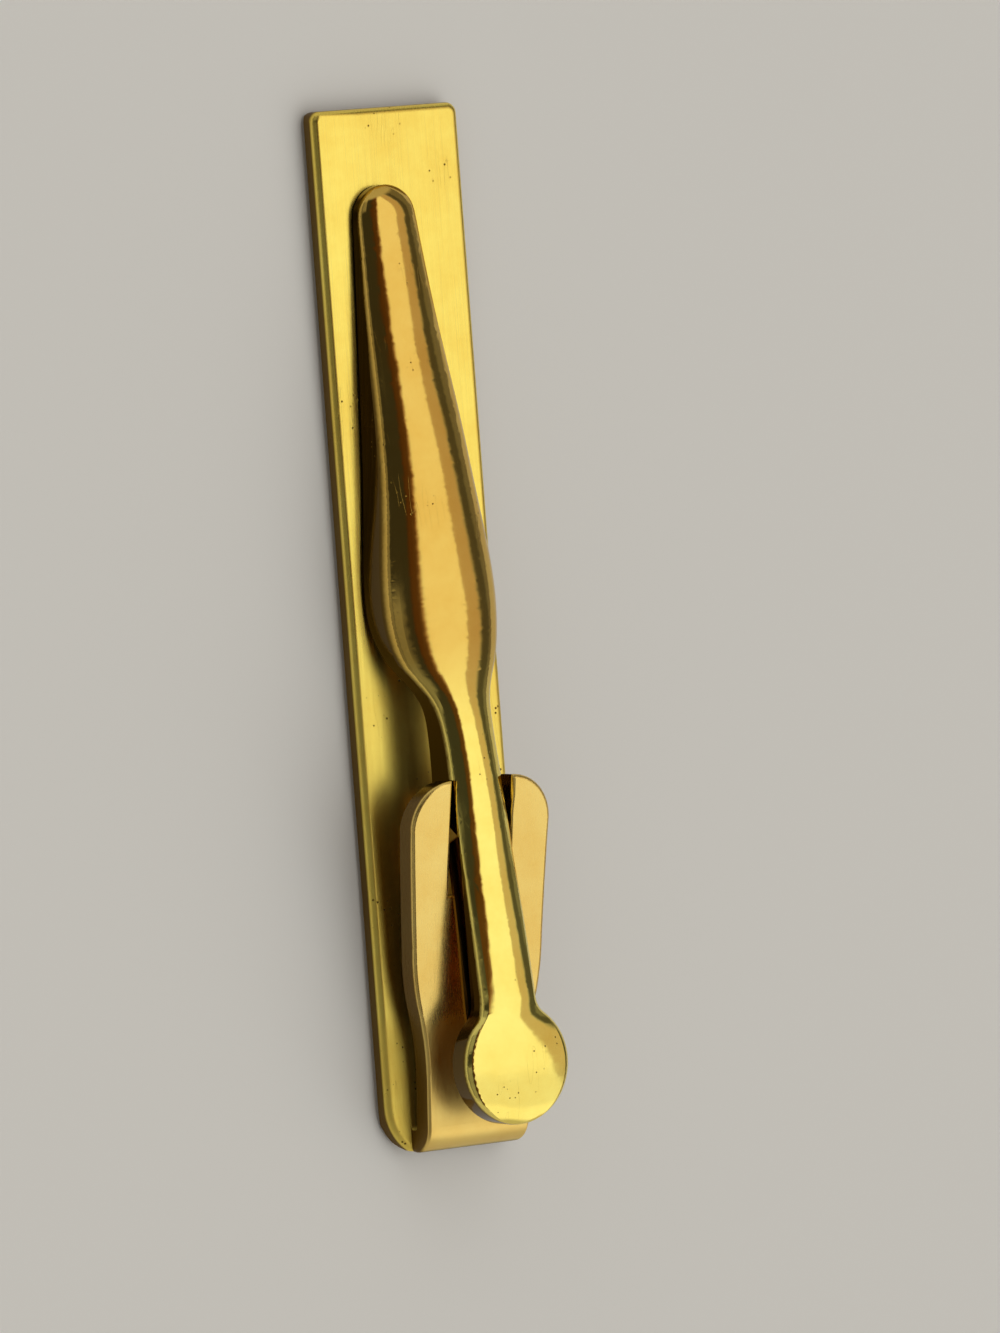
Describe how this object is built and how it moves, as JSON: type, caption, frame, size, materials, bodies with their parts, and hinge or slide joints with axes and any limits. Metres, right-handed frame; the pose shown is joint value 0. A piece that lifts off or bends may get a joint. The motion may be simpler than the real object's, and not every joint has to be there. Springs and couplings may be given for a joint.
{
  "type": "tie clip",
  "caption": "Polished gold-plated tie clip: a flat bar folded into a bracket plate that carries a sprung see-saw jaw lever with a round thumb pad on a cross pin.",
  "frame": {"origin": "under the middle of the clip, on the plane of the bar's front face, on which it lies", "axes": "+Y along the bar towards the jaw's free tip, +X across the bar, +Z out of the bar's back towards the lever"},
  "size_m": [0.0094, 0.057, 0.0072],
  "materials": {
    "bar_gold_plate": "mirror-polished gold plate on brass strip",
    "lever_gold_plate": "mirror-polished gold plate on pressed brass sheet",
    "pin_brass": "drawn brass wire with peened ends",
    "leaf_bronze": "rolled spring bronze, gold-washed"
  },
  "bodies": {
    "bar": {"front_bar": "bar_gold_plate", "hinge_pin": "pin_brass", "leaf_spring": "leaf_bronze"},
    "jaw_lever": {"lever": "lever_gold_plate"}
  },
  "joints": [
    {"name": "jaw_hinge", "type": "hinge", "parent": "bar", "child": "jaw_lever", "pos_m": [0, -0.0098, 0.00388], "axis": [1, 0, 0], "range_deg": [0, 6.5], "stiffness_Nm_per_rad": 0.2, "springref_deg": -0.57, "deforming": ["leaf_spring"]}
  ]
}
